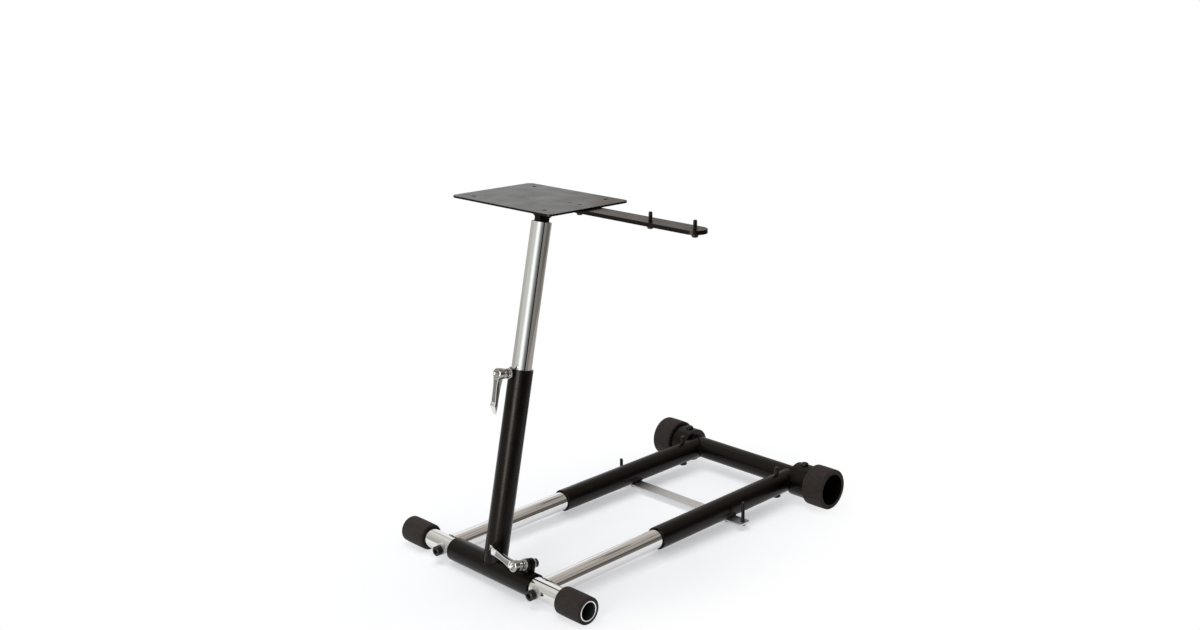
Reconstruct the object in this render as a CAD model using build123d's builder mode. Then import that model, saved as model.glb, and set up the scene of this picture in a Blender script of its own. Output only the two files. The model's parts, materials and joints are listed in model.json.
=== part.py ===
"""Folding racing wheel stand: chrome tube base, tilting column, sliding mast, wheel plate and shifter arm.

Millimetres, +Z up, +X to the driver's right, +Y away from the driver.
The origin is on the floor, under the middle of the whole stand.
"""
import os
from math import atan2, cos, radians, sin

from build123d import *

os.makedirs("parts", exist_ok=True)

# Driving dimensions, tubes
chrome_od = 32
chrome_wall = 2
black_od = 38
black_bore_clearance = 0.5
foot_od = 60
foot_wall = 2.2
weld_gap = 0.1
screw_clearance = 0.2
cope_start = 6
edge_break = 0.4

# Driving dimensions, base
front_tube_length = 426
front_axis_height = 21
front_foam_od = 43
front_foam_length = 53
foam_grip_gap = 0.1
foam_edge = 1.5
rail_spacing = 225.2
rail_end_inset = 92
rail_plug_end = 36
rail_screw_d = 10
rail_screw_reach = 32
cap_head_d = 16
cap_head_height = 10
cap_socket = 8
cap_socket_depth = 5
saddle_d = 20
saddle_thickness = 3

# Driving dimensions, rear frame
base_length = 609.7
rear_axis_height = 35.5
sleeve_length = 359
rear_foam_od = 72
rear_foam_length = 40
foot_rail_offset = 9.4
foot_length = 78
foot_disc_thickness = 3
foot_bolt_inset = 16
foot_bolt_d = 8
foot_bolt_grip = 6
dome_head_d = 14
dome_head_height = 5
dome_chamfer = 3
pedal_bar_inset = 179
pedal_bar_width = 25
pedal_bar_thickness = 3
pedal_bar_end = 6.5
pedal_bar_corner = 4
pedal_stud_d = 6
pedal_stud_outset = 13.9
pedal_stud_height = 36
rear_stud_inset = 47
rear_stud_d = 8
rear_stud_height = 14
hex_head_across = 13
hex_head_height = 5
button_head_d = 11
button_head_height = 3.6
button_chamfer = 2
neck_allowance = 0.4
lock_screw_d = 8
screw_tip_gap = 0.3

# Driving dimensions, column
lean = 11.35
tilt_sleeve_end_gap = 0.6
column_top = 318
clamp_inset = 22.5
clamp_radius = 28
clamp_slit = 3
clamp_slit_length = 42
clamp_slit_hole_d = 5
ear_thickness = 6
ear_width = 18
ear_round = 9
upper_clamp_drop = 7
boss_across = 14
boss_height = 6
boss_turn = 30

# Driving dimensions, clamp levers
lever_screw_d = 8
lever_washer_d = 17
lever_washer_thickness = 2.5
lever_gap = 0.3
lever_ring_d = 15
lever_ring_height = 3
lever_collar_d = 13
lever_collar_height = 6
lever_head_d = 18
lever_head_height = 16.5
lever_head_chamfer = 1.5
lever_cap_screw_d = 6
lever_cap_recess_d = 10
lever_cap_recess = 1.5
lever_length = 63
lever_neck = 20
lever_flare_start = 42
lever_tip = 13
lever_root_width = 12.6
lever_neck_width = 9
lever_tip_width = 12
lever_end_width = 8
lever_neck_depth = 8
lever_flare = 1.5
lever_end_depth = 2
lever_groove_start = 12
lever_groove_end = 44
lever_groove_width = 5
lever_groove_depth = 1
lower_lever_rise = 10
upper_lever_rise = -90
lever_nut_across = 13
nut_height = 7
screw_tail = 3

# Driving dimensions, mast and wheel head
mast_length = 386
mast_plug_depth = 22
tongue_thickness = 12
tongue_width = 20
tongue_rise = 17
pivot_drop = 17
tilt_bolt_d = 10
tilt_hex_across = 16
tilt_side_gap = 0.5
cheek_thickness = 5
cheek_round = 12
cheek_top_length = 56
cheek_flange_width = 26
plate_top = 595
plate_thickness = 3
plate_width = 224
plate_depth = 163
plate_rear_y = 185
plate_corner = 10
plate_hole_d = 6.6
plate_hole_span_x = 160
plate_hole_span_y = 124
arm_thickness = 6
arm_width = 35
arm_front_y = 91
arm_length = 284
arm_overlap = 67
arm_bolt_pitch = 21
arm_bolt_d = 6
arm_bolt_short = 0.3
arm_head_d = 10.5
arm_head_height = 6.5
shifter_stud_pitch = 84
shifter_stud_d = 6
shifter_stud_height = 12

# Sizes that follow from the driving dimensions
chrome_r = chrome_od / 2
chrome_bore_r = chrome_r - chrome_wall
black_r = black_od / 2
black_bore_r = chrome_r + black_bore_clearance
foot_r = foot_od / 2
plate_bottom = plate_top - plate_thickness
plate_middle_y = plate_rear_y - plate_depth / 2
arm_bottom = plate_bottom - arm_thickness
arm_middle_y = arm_front_y + arm_width / 2
arm_inner_x = plate_width / 2 - arm_overlap
arm_outer_x = arm_inner_x + arm_length
rail_x = rail_spacing / 2
foot_inner_x = rail_x + foot_rail_offset
foot_outer_x = foot_inner_x + foot_length
foot_bolt_x = foot_inner_x + foot_bolt_inset
tilt_sleeve_length = rail_spacing - chrome_od - 2 * tilt_sleeve_end_gap
clamp_x = tilt_sleeve_length / 2 - clamp_inset
lever_height = lever_collar_height + lever_head_height
ear_half = clamp_slit / 2 + ear_thickness
lower_seat = ear_half + lever_washer_thickness + lever_gap
upper_seat = black_r + boss_height + lever_washer_thickness + lever_gap
upper_clamp_distance = column_top - upper_clamp_drop
lean_sin = sin(radians(lean))
lean_cos = cos(radians(lean))
pivot_distance = (plate_bottom - pivot_drop - front_axis_height) / lean_cos
mast_top = pivot_distance - tongue_rise
mast_bottom = mast_top - mast_length
rail_rise = atan2(rear_axis_height - front_axis_height, base_length)
rail_run = base_length / cos(rail_rise)
rail_end = rail_run - rail_end_inset
sleeve_start = rail_run - sleeve_length
pedal_bar_at = rail_run - pedal_bar_inset
rear_stud_at = rail_run - rear_stud_inset
pedal_stud_x = rail_x + black_r + pedal_stud_outset
pedal_bar_length = 2 * (pedal_stud_x + pedal_bar_end)
bar_top = -black_r - weld_gap
bar_bottom = bar_top - pedal_bar_thickness

# The floor point under the middle of the stand, seen from the column's foot
lever_rim = clamp_radius - lever_head_d / 2 + lever_head_chamfer
lever_reach = (lower_seat + lever_height) * lean_cos - lever_rim * lean_sin
screw_reach = (chrome_r + saddle_thickness + cap_head_height) * cos(rail_rise)
screw_reach += cap_head_d / 2 * sin(rail_rise)
front_reach = max(lever_reach, screw_reach)
rear_reach = base_length + rear_foam_od / 2
column_x = (front_tube_length / 2 - arm_outer_x) / 2
front_y = (front_reach - rear_reach) / 2
rear_y = front_y + base_length
front_z = front_axis_height
rear_z = rear_axis_height


def across(x, y, z):
    """Plane whose normal runs along +X, at a point given from the column's foot."""
    return Plane(origin=(column_x + x, y, z), x_dir=(0, 1, 0), z_dir=(1, 0, 0))


def along_column(distance, x=0):
    """Plane square to the leaning column, at a distance up from the front tube's axis."""
    up = (0, lean_sin, lean_cos)
    point = (column_x + x, front_y + distance * up[1], front_z + distance * up[2])
    return Plane(origin=point, x_dir=(1, 0, 0), z_dir=up)


def along_rail(distance, x):
    """Plane square to a rail, at a distance back from the front tube's axis."""
    back = (0, cos(rail_rise), sin(rail_rise))
    point = (column_x + x, front_y + distance * back[1], front_z + distance * back[2])
    return Plane(origin=point, x_dir=(1, 0, 0), z_dir=back)


def above_rail(distance, x, height):
    """Plane that faces up square to the rails, at a height over a rail's axis."""
    up = (0, -sin(rail_rise), cos(rail_rise))
    foot = along_rail(distance, x).origin
    return Plane(origin=foot + Vector(*up) * height, x_dir=(1, 0, 0), z_dir=up)


def level(x, y, z):
    """Level plane at a point given from the column's foot."""
    return Plane.XY.offset(z).shift_origin((column_x + x, front_y + y, z))


def lever_plane(distance, x, handle_rise):
    """Plane on a clamp screw's axis: z towards the driver, x along the lever's handle."""
    start = along_column(distance, x)
    turn = radians(handle_rise)
    handle = start.x_dir * -cos(turn) + start.z_dir * sin(turn)
    return Plane(origin=start.origin, x_dir=handle, z_dir=start.y_dir * -1)


def save(piece, name):
    """Label a finished piece and write it as one file."""
    piece.label = name
    export_step(piece, f"parts/{name}.step")


def neck_hole(diameter):
    """Width of the square hole for the neck of a stud."""
    return diameter + neck_allowance + 2 * screw_clearance


def button_bolt(seat, diameter, length, head_d, head_height):
    """Bolt with its button head under its seat and a plain shank above."""
    with BuildPart() as bolt:
        with BuildSketch(seat):
            Circle(head_d / 2)
        extrude(amount=-head_height)
        chamfer(bolt.edges().sort_by(Axis.Z)[0], button_chamfer)
        with BuildSketch(seat):
            Circle(diameter / 2)
        extrude(amount=length)
    return bolt.part


def necked_stud(seat, diameter, grip, height, head_d, head_height):
    """Button head bolt with a square neck that can't turn in the plate it grips."""
    with BuildPart() as stud:
        add(button_bolt(seat, diameter, grip + height, head_d, head_height))
        with BuildSketch(seat):
            Rectangle(diameter + neck_allowance, diameter + neck_allowance)
        extrude(amount=grip)
    return stud.part


sides = (("left", -1), ("right", 1))
lower_screw = lever_plane(clamp_radius, clamp_x, lower_lever_rise)
upper_screw = lever_plane(upper_clamp_distance, 0, upper_lever_rise)

# Front cross tube, open at both ends, drilled for the rail screws
with BuildPart() as front_cross_tube:
    with BuildSketch(across(-front_tube_length / 2, front_y, front_z)):
        Circle(chrome_r)
        Circle(chrome_bore_r, mode=Mode.SUBTRACT)
    extrude(amount=front_tube_length)
    chamfer(front_cross_tube.edges().filter_by(GeomType.CIRCLE), edge_break)
    for side, sign in sides:
        with BuildSketch(along_rail(0, sign * rail_x)):
            Circle(rail_screw_d / 2 + screw_clearance)
        extrude(amount=black_od, both=True, mode=Mode.SUBTRACT)
save(front_cross_tube.part, "front_cross_tube")

# Foam feet, rings pressed flat where they stand on the floor
foam_feet = (
    ("front_foam", front_tube_length / 2, front_foam_length, front_y, front_z, front_foam_od, chrome_od),
    ("rear_foam", foot_outer_x, rear_foam_length, rear_y, rear_z, rear_foam_od, foot_od),
)
for name, outer_x, length, axis_y, axis_z, outside, tube in foam_feet:
    for side, sign in sides:
        with BuildPart() as foam:
            with BuildSketch(across(sign * outer_x, axis_y, axis_z)):
                Circle(outside / 2)
            extrude(amount=-sign * length)
            chamfer(foam.edges().filter_by(GeomType.CIRCLE), foam_edge)
            with BuildSketch(across(sign * outer_x, axis_y, axis_z)):
                Circle(tube / 2 + foam_grip_gap)
            extrude(amount=-sign * length, mode=Mode.SUBTRACT)
            split(bisect_by=Plane.XY, keep=Keep.TOP)
        save(foam.part, f"{name}_{side}")

for side, sign in sides:
    x = sign * rail_x

    # Rail, its front end plugged for the screw and coped to the front tube
    with BuildPart() as rail:
        with BuildSketch(along_rail(cope_start, x)):
            Circle(chrome_r)
        extrude(amount=rail_end - cope_start)
        with BuildSketch(along_rail(rail_plug_end, x)):
            Circle(chrome_bore_r)
        extrude(amount=rail_end, mode=Mode.SUBTRACT)
        with BuildSketch(along_rail(0, x)):
            Circle(rail_screw_d / 2 + screw_clearance)
        extrude(amount=rail_plug_end, mode=Mode.SUBTRACT)
        with BuildSketch(across(x - black_od, front_y, front_z)):
            Circle(chrome_r + weld_gap)
        extrude(amount=2 * black_od, mode=Mode.SUBTRACT)
    save(rail.part, f"rail_{side}")

    # Saddle washer, hollowed to sit on the front tube
    head_seat = chrome_r + saddle_thickness
    with BuildPart() as saddle_washer:
        with BuildSketch(along_rail(-head_seat, x)):
            Circle(saddle_d / 2)
            Circle(rail_screw_d / 2 + screw_clearance, mode=Mode.SUBTRACT)
        extrude(amount=chrome_r)
        with BuildSketch(across(x - saddle_d, front_y, front_z)):
            Circle(chrome_r + weld_gap)
        extrude(amount=2 * saddle_d, mode=Mode.SUBTRACT)
    save(saddle_washer.part, f"saddle_washer_{side}")

    # Socket head screw that draws the rail against the front tube
    with BuildPart() as rail_screw:
        with BuildSketch(along_rail(-head_seat, x)):
            Circle(cap_head_d / 2)
        extrude(amount=-cap_head_height)
        with BuildSketch(along_rail(-head_seat - cap_head_height, x)):
            RegularPolygon(cap_socket / 2, 6, major_radius=False)
        extrude(amount=cap_socket_depth, mode=Mode.SUBTRACT)
        with BuildSketch(along_rail(-head_seat, x)):
            Circle(rail_screw_d / 2)
        extrude(amount=head_seat + rail_screw_reach)
    save(rail_screw.part, f"rail_screw_{side}")

    # Rail sleeve, coped to the rear cross tube and round the foot tube, drilled for its screws
    with BuildPart() as rail_sleeve:
        with BuildSketch(along_rail(sleeve_start, x)):
            Circle(black_r)
            Circle(black_bore_r, mode=Mode.SUBTRACT)
        extrude(amount=sleeve_length - cope_start)
        chamfer(rail_sleeve.edges().filter_by(GeomType.CIRCLE).sort_by(Axis.Y)[:2], edge_break)
        with BuildSketch(across(x - black_od, rear_y, rear_z)):
            Circle(black_r + weld_gap)
        extrude(amount=2 * black_od, mode=Mode.SUBTRACT)
        with BuildSketch(across(sign * (foot_inner_x - weld_gap), rear_y, rear_z)):
            Circle(foot_r + weld_gap)
        extrude(amount=sign * foot_outer_x, mode=Mode.SUBTRACT)
        with BuildSketch(above_rail(pedal_bar_at, x, 0)):
            Circle(lock_screw_d / 2 + screw_clearance)
        extrude(amount=-black_od, mode=Mode.SUBTRACT)
        with BuildSketch(above_rail(rear_stud_at, x, 0)):
            Circle(rear_stud_d / 2 + screw_clearance)
        extrude(amount=black_od, both=True, mode=Mode.SUBTRACT)
    save(rail_sleeve.part, f"rail_sleeve_{side}")

    # Foot tube, open outwards, its inner end closed by a disc on the cross tube
    with BuildPart() as rear_foot:
        with BuildSketch(across(sign * foot_inner_x, rear_y, rear_z)):
            Circle(foot_r)
        extrude(amount=sign * (foot_outer_x - foot_inner_x))
        with BuildSketch(across(sign * (foot_inner_x + foot_disc_thickness), rear_y, rear_z)):
            Circle(foot_r - foot_wall)
        extrude(amount=sign * foot_outer_x, mode=Mode.SUBTRACT)
        outward = Axis((0, 0, 0), (sign, 0, 0))
        chamfer(rear_foot.edges().filter_by(GeomType.CIRCLE).group_by(outward)[-1], edge_break)
        with BuildSketch(Plane(origin=(column_x + sign * foot_bolt_x, rear_y, rear_z))):
            Circle(foot_bolt_d / 2 + screw_clearance)
        extrude(amount=foot_od, mode=Mode.SUBTRACT)
    save(rear_foot.part, f"rear_foot_{side}")

    # Dome bolt through the top of the foot tube
    with BuildPart() as foot_bolt:
        bolt_seat = Plane(origin=(column_x + sign * foot_bolt_x, rear_y, rear_z + foot_r + weld_gap))
        with BuildSketch(bolt_seat):
            Circle(dome_head_d / 2)
        extrude(amount=dome_head_height)
        chamfer(foot_bolt.edges().sort_by(Axis.Z)[-1], dome_chamfer)
        with BuildSketch(bolt_seat):
            Circle(foot_bolt_d / 2)
        extrude(amount=-foot_bolt_grip)
    save(foot_bolt.part, f"rear_foot_bolt_{side}")

    # Front pedal stud, its head under the pedal bar and its square neck in it
    stud_seat = above_rail(pedal_bar_at, sign * pedal_stud_x, bar_bottom)
    pedal_stud = necked_stud(stud_seat, pedal_stud_d, pedal_bar_thickness, pedal_stud_height,
                             button_head_d, button_head_height)
    save(pedal_stud, f"pedal_stud_front_{side}")

    # Rear pedal stud, straight through the rail sleeve
    with BuildPart() as rear_stud:
        with BuildSketch(above_rail(rear_stud_at, x, bar_top)):
            RegularPolygon(hex_head_across / 2, 6, major_radius=False)
        extrude(amount=-hex_head_height)
        with BuildSketch(above_rail(rear_stud_at, x, bar_top)):
            Circle(rear_stud_d / 2)
        extrude(amount=2 * black_r + rear_stud_height)
    save(rear_stud.part, f"pedal_stud_rear_{side}")

    # Lock screw, through the pedal bar and the sleeve, that bears on the rail
    with BuildPart() as lock_screw:
        with BuildSketch(above_rail(pedal_bar_at, x, bar_bottom)):
            RegularPolygon(hex_head_across / 2, 6, major_radius=False)
        extrude(amount=-hex_head_height)
        with BuildSketch(above_rail(pedal_bar_at, x, bar_bottom)):
            Circle(lock_screw_d / 2)
        extrude(amount=-bar_bottom - chrome_r - screw_tip_gap)
    save(lock_screw.part, f"rail_lock_screw_{side}")

# Rear cross tube between the two feet
with BuildPart() as rear_cross_tube:
    with BuildSketch(across(-foot_inner_x, rear_y, rear_z)):
        Circle(black_r)
        Circle(black_bore_r, mode=Mode.SUBTRACT)
    extrude(amount=2 * foot_inner_x)
save(rear_cross_tube.part, "rear_cross_tube")

# Pedal bar, a flat bar across the undersides of the rail sleeves
with BuildPart() as pedal_bar:
    with BuildSketch(above_rail(pedal_bar_at, 0, bar_top)):
        RectangleRounded(pedal_bar_length, pedal_bar_width, pedal_bar_corner)
        with Locations((-pedal_stud_x, 0), (pedal_stud_x, 0)):
            Rectangle(neck_hole(pedal_stud_d), neck_hole(pedal_stud_d), mode=Mode.SUBTRACT)
        with Locations((-rail_x, 0), (rail_x, 0)):
            Circle(lock_screw_d / 2 + screw_clearance, mode=Mode.SUBTRACT)
    extrude(amount=-pedal_bar_thickness)
save(pedal_bar.part, "pedal_bar")

# Tilt sleeve on the front tube, split at its right end between two clamp ears
with BuildPart() as tilt_sleeve:
    with BuildSketch(across(-tilt_sleeve_length / 2, front_y, front_z)):
        Circle(black_r)
    extrude(amount=tilt_sleeve_length)
    chamfer(tilt_sleeve.edges().filter_by(GeomType.CIRCLE), edge_break)
    with BuildSketch(along_column(0, clamp_x)):
        Rectangle(ear_width, 2 * ear_half)
    extrude(amount=clamp_radius)
    with BuildSketch(lower_screw):
        Circle(ear_round)
    extrude(amount=ear_half, both=True)
    with BuildSketch(across(-tilt_sleeve_length / 2, front_y, front_z)):
        Circle(black_bore_r)
    extrude(amount=tilt_sleeve_length, mode=Mode.SUBTRACT)
    with BuildSketch(along_column(0, tilt_sleeve_length / 2 - clamp_slit_length / 2)):
        Rectangle(clamp_slit_length, clamp_slit)
    extrude(amount=clamp_radius + ear_width, mode=Mode.SUBTRACT)
    with BuildSketch(along_column(0, tilt_sleeve_length / 2 - clamp_slit_length)):
        Circle(clamp_slit_hole_d / 2)
    extrude(amount=black_od, mode=Mode.SUBTRACT)
    with BuildSketch(lower_screw):
        Circle(lever_screw_d / 2 + screw_clearance)
    extrude(amount=black_od, both=True, mode=Mode.SUBTRACT)
save(tilt_sleeve.part, "tilt_sleeve")

# Column tube, coped to the tilt sleeve, drilled for the upper clamp screw
with BuildPart() as column_tube:
    with BuildSketch(along_column(cope_start)):
        Circle(black_r)
        Circle(black_bore_r, mode=Mode.SUBTRACT)
    extrude(amount=column_top - cope_start)
    chamfer(column_tube.edges().filter_by(GeomType.CIRCLE).sort_by(Axis.Z)[-2:], edge_break)
    with BuildSketch(across(-black_od, front_y, front_z)):
        Circle(black_r + weld_gap)
    extrude(amount=2 * black_od, mode=Mode.SUBTRACT)
    with BuildSketch(upper_screw):
        Circle(lever_screw_d / 2 + screw_clearance)
    extrude(amount=black_od, mode=Mode.SUBTRACT)
save(column_tube.part, "column_tube")

# Weld nut of the upper clamp, hollowed to sit on the column
with BuildPart() as upper_clamp_nut:
    with BuildSketch(upper_screw.offset(black_bore_r)):
        RegularPolygon(boss_across / 2, 6, major_radius=False, rotation=boss_turn)
        Circle(lever_screw_d / 2 + screw_clearance, mode=Mode.SUBTRACT)
    extrude(amount=black_r + boss_height - black_bore_r)
    with BuildSketch(along_column(0)):
        Circle(black_r + weld_gap)
    extrude(amount=column_top + boss_across, mode=Mode.SUBTRACT)
save(upper_clamp_nut.part, "upper_clamp_nut")

# Nut on the far end of the lower clamp screw
with BuildPart() as lower_clamp_nut:
    with BuildSketch(lower_screw.offset(-ear_half - lever_washer_thickness)):
        RegularPolygon(lever_nut_across / 2, 6, major_radius=False)
        Circle(lever_screw_d / 2 + screw_clearance, mode=Mode.SUBTRACT)
    extrude(amount=-nut_height)
save(lower_clamp_nut.part, "lower_clamp_nut")

# Washers of the clamps, one under each lever and one under the lower clamp's nut
clamp_washers = (
    ("lower_clamp_washers", (lower_screw.offset(ear_half), lower_screw.offset(-ear_half - lever_washer_thickness))),
    ("upper_clamp_washer", (upper_screw.offset(black_r + boss_height),)),
)
for name, seats in clamp_washers:
    with BuildPart() as washer:
        for seat in seats:
            with BuildSketch(seat):
                Circle(lever_washer_d / 2)
                Circle(lever_screw_d / 2 + screw_clearance, mode=Mode.SUBTRACT)
            extrude(amount=lever_washer_thickness)
    save(washer.part, name)

# Clamp levers: a stepped hub turned with its screw, and a grooved handle that flares to a bevelled tip
lower_reach = lower_seat + ear_half + lever_washer_thickness + nut_height + screw_tail
upper_reach = upper_seat - chrome_r - screw_tip_gap
levers = (
    ("lower_clamp_lever", lower_screw, lower_seat, lower_reach),
    ("upper_clamp_lever", upper_screw, upper_seat, upper_reach),
)
for name, screw, seat, reach in levers:
    hub = screw.offset(seat)
    handle_side = Plane(origin=hub.origin, x_dir=hub.x_dir, z_dir=hub.y_dir * -1)
    handle_inner = lever_height - lever_neck_depth
    groove_length = lever_groove_end - lever_groove_start
    with BuildPart() as lever:
        with BuildSketch(handle_side):
            with BuildLine():
                Polyline(
                    (0, lever_collar_height),
                    (lever_neck, handle_inner),
                    (lever_length, handle_inner),
                    (lever_length, handle_inner + lever_end_depth),
                    (lever_length - lever_tip, lever_height + lever_flare),
                    (lever_flare_start, lever_height),
                    (0, lever_height),
                    close=True,
                )
            make_face()
        extrude(amount=lever_head_d, both=True)
        with BuildSketch(hub):
            with BuildLine():
                Polyline(
                    (0, 0),
                    (0, lever_root_width / 2),
                    (lever_neck, lever_neck_width / 2),
                    (lever_length - lever_tip, lever_tip_width / 2),
                    (lever_length, lever_end_width / 2),
                    (lever_length, 0),
                )
                mirror(about=Plane.XZ)
            make_face()
        extrude(amount=2 * lever_height, mode=Mode.INTERSECT)
        with BuildSketch(handle_side):
            with BuildLine():
                Polyline(
                    (0, -reach),
                    (lever_screw_d / 2, -reach),
                    (lever_screw_d / 2, 0),
                    (lever_ring_d / 2, 0),
                    (lever_ring_d / 2, lever_ring_height),
                    (lever_collar_d / 2, lever_ring_height),
                    (lever_collar_d / 2, lever_collar_height),
                    (lever_head_d / 2, lever_collar_height),
                    (lever_head_d / 2, lever_height - lever_head_chamfer),
                    (lever_head_d / 2 - lever_head_chamfer, lever_height),
                    (0, lever_height),
                    close=True,
                )
            make_face()
        revolve(axis=Axis(hub.origin, hub.z_dir))
        with BuildSketch(hub.offset(lever_height)):
            Circle(lever_cap_recess_d / 2)
            Circle(lever_cap_screw_d / 2, mode=Mode.SUBTRACT)
        extrude(amount=-lever_cap_recess, mode=Mode.SUBTRACT)
        with BuildSketch(hub.offset(lever_height)):
            with Locations(((lever_groove_start + lever_groove_end) / 2, 0)):
                SlotOverall(groove_length, lever_groove_width)
        extrude(amount=-lever_groove_depth, mode=Mode.SUBTRACT)
    save(lever.part, name)

# Mast, sliding in the column
with BuildPart() as mast_tube:
    with BuildSketch(along_column(mast_bottom)):
        Circle(chrome_r)
        Circle(chrome_bore_r, mode=Mode.SUBTRACT)
    extrude(amount=mast_length)
save(mast_tube.part, "mast_tube")

# Mast head: a plug in the mast's top that carries the tilt tongue
pivot = along_column(pivot_distance)
pivot_y = pivot.origin.Y
pivot_z = pivot.origin.Z
with BuildPart() as mast_head:
    with BuildSketch(along_column(mast_top)):
        Circle(chrome_bore_r - weld_gap)
    extrude(amount=-mast_plug_depth)
    with BuildSketch(along_column(mast_top)):
        Rectangle(tongue_thickness, tongue_width)
    extrude(amount=tongue_rise)
    with BuildSketch(across(-tongue_thickness / 2, pivot_y, pivot_z)):
        Circle(tongue_width / 2)
    extrude(amount=tongue_thickness)
    with BuildSketch(across(-tongue_thickness / 2, pivot_y, pivot_z)):
        Circle(tilt_bolt_d / 2 + screw_clearance)
    extrude(amount=tongue_thickness, mode=Mode.SUBTRACT)
save(mast_head.part, "mast_head")

# Tilt cheeks, angle brackets under the wheel plate on each side of the tongue
cheek_inner = tongue_thickness / 2 + tilt_side_gap
cheek_outer = cheek_inner + cheek_thickness
for side, sign in sides:
    with BuildPart() as tilt_cheek:
        with BuildSketch(across(sign * cheek_inner, pivot_y, pivot_z)):
            Circle(cheek_round)
            with Locations((0, plate_bottom - pivot_z - cheek_thickness / 2)):
                Rectangle(cheek_top_length, cheek_thickness)
            make_hull()
            Circle(tilt_bolt_d / 2 + screw_clearance, mode=Mode.SUBTRACT)
        extrude(amount=sign * cheek_thickness)
        with BuildSketch(across(sign * cheek_inner, pivot_y, plate_bottom - cheek_thickness / 2)):
            Rectangle(cheek_top_length, cheek_thickness)
        extrude(amount=sign * cheek_flange_width)
    save(tilt_cheek.part, f"tilt_cheek_{side}")

# Tilt bolt through cheeks and tongue, and its nut
with BuildPart() as tilt_bolt:
    with BuildSketch(across(cheek_outer, pivot_y, pivot_z)):
        RegularPolygon(tilt_hex_across / 2, 6, major_radius=False)
    extrude(amount=hex_head_height)
    with BuildSketch(across(cheek_outer, pivot_y, pivot_z)):
        Circle(tilt_bolt_d / 2)
    extrude(amount=-2 * cheek_outer - nut_height - screw_tail)
save(tilt_bolt.part, "tilt_bolt")

with BuildPart() as tilt_nut:
    with BuildSketch(across(-cheek_outer, pivot_y, pivot_z)):
        RegularPolygon(tilt_hex_across / 2, 6, major_radius=False)
        Circle(tilt_bolt_d / 2 + screw_clearance, mode=Mode.SUBTRACT)
    extrude(amount=-nut_height)
save(tilt_nut.part, "tilt_nut")

# Wheel plate, drilled for a wheel base and for the arm's bolts
arm_round = arm_width / 2
arm_bolt_x = arm_inner_x + arm_round
arm_bolt_points = [(arm_bolt_x, arm_middle_y), (arm_bolt_x + arm_bolt_pitch, arm_middle_y)]
with BuildPart() as wheel_plate:
    with BuildSketch(level(0, plate_middle_y, plate_bottom)):
        RectangleRounded(plate_width, plate_depth, plate_corner)
        with GridLocations(plate_hole_span_x, plate_hole_span_y, 2, 2):
            Circle(plate_hole_d / 2, mode=Mode.SUBTRACT)
        with Locations(*[(px, py - plate_middle_y) for px, py in arm_bolt_points]):
            Circle(arm_bolt_d / 2 + screw_clearance, mode=Mode.SUBTRACT)
    extrude(amount=plate_thickness)
save(wheel_plate.part, "wheel_plate")

# Shifter arm, a flat bar with round ends that reaches out to the right from under the plate
stud_outer_x = arm_outer_x - arm_round
stud_points = [(stud_outer_x - shifter_stud_pitch, arm_middle_y), (stud_outer_x, arm_middle_y)]
arm_middle_x = (arm_inner_x + arm_outer_x) / 2
with BuildPart() as shifter_arm:
    with BuildSketch(level(arm_middle_x, arm_middle_y, arm_bottom)):
        SlotOverall(arm_length, arm_width)
        with Locations(*[(px - arm_middle_x, py - arm_middle_y) for px, py in arm_bolt_points]):
            Circle(arm_bolt_d / 2 + screw_clearance, mode=Mode.SUBTRACT)
        with Locations(*[(px - arm_middle_x, py - arm_middle_y) for px, py in stud_points]):
            Rectangle(neck_hole(shifter_stud_d), neck_hole(shifter_stud_d), mode=Mode.SUBTRACT)
    extrude(amount=arm_thickness)
save(shifter_arm.part, "shifter_arm")

# Button head bolts that hold the arm to the plate, and the studs that a shifter stands on
bolt_length = arm_thickness + plate_thickness - arm_bolt_short
for name, (px, py) in zip(("arm_bolt_inner", "arm_bolt_outer"), arm_bolt_points):
    arm_bolt = button_bolt(level(px, py, arm_bottom), arm_bolt_d, bolt_length, arm_head_d, arm_head_height)
    save(arm_bolt, name)
for name, (px, py) in zip(("shifter_stud_inner", "shifter_stud_outer"), stud_points):
    stud = necked_stud(level(px, py, arm_bottom), shifter_stud_d, arm_thickness, shifter_stud_height,
                       arm_head_d, arm_head_height)
    save(stud, name)
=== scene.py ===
"""Looks of the racing wheel stand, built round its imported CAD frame. Metres, +Z up."""
import json
from math import cos, pi, radians, sin, sqrt, tan

import bmesh
import bpy
from mathutils import Matrix, Vector

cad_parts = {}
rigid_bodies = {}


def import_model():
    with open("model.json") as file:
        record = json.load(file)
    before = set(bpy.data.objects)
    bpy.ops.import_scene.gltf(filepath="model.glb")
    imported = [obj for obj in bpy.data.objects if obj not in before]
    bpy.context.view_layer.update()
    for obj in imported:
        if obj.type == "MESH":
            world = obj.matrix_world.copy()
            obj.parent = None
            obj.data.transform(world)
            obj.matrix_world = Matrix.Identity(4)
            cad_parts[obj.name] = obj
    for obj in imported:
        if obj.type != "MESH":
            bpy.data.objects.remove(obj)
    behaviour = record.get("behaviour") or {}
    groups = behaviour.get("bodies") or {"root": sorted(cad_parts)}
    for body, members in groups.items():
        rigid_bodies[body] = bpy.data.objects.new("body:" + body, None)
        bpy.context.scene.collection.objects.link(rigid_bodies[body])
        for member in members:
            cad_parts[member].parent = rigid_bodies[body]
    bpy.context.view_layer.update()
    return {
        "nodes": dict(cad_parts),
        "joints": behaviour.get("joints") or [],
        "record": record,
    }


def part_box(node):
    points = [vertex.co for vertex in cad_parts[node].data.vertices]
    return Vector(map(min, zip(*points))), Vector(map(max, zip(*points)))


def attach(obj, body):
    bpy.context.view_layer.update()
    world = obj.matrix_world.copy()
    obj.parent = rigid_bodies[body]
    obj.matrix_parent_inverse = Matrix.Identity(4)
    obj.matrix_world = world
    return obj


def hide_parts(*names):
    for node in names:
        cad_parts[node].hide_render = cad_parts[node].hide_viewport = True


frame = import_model()
scene = bpy.context.scene
nodes = frame["nodes"]
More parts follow.
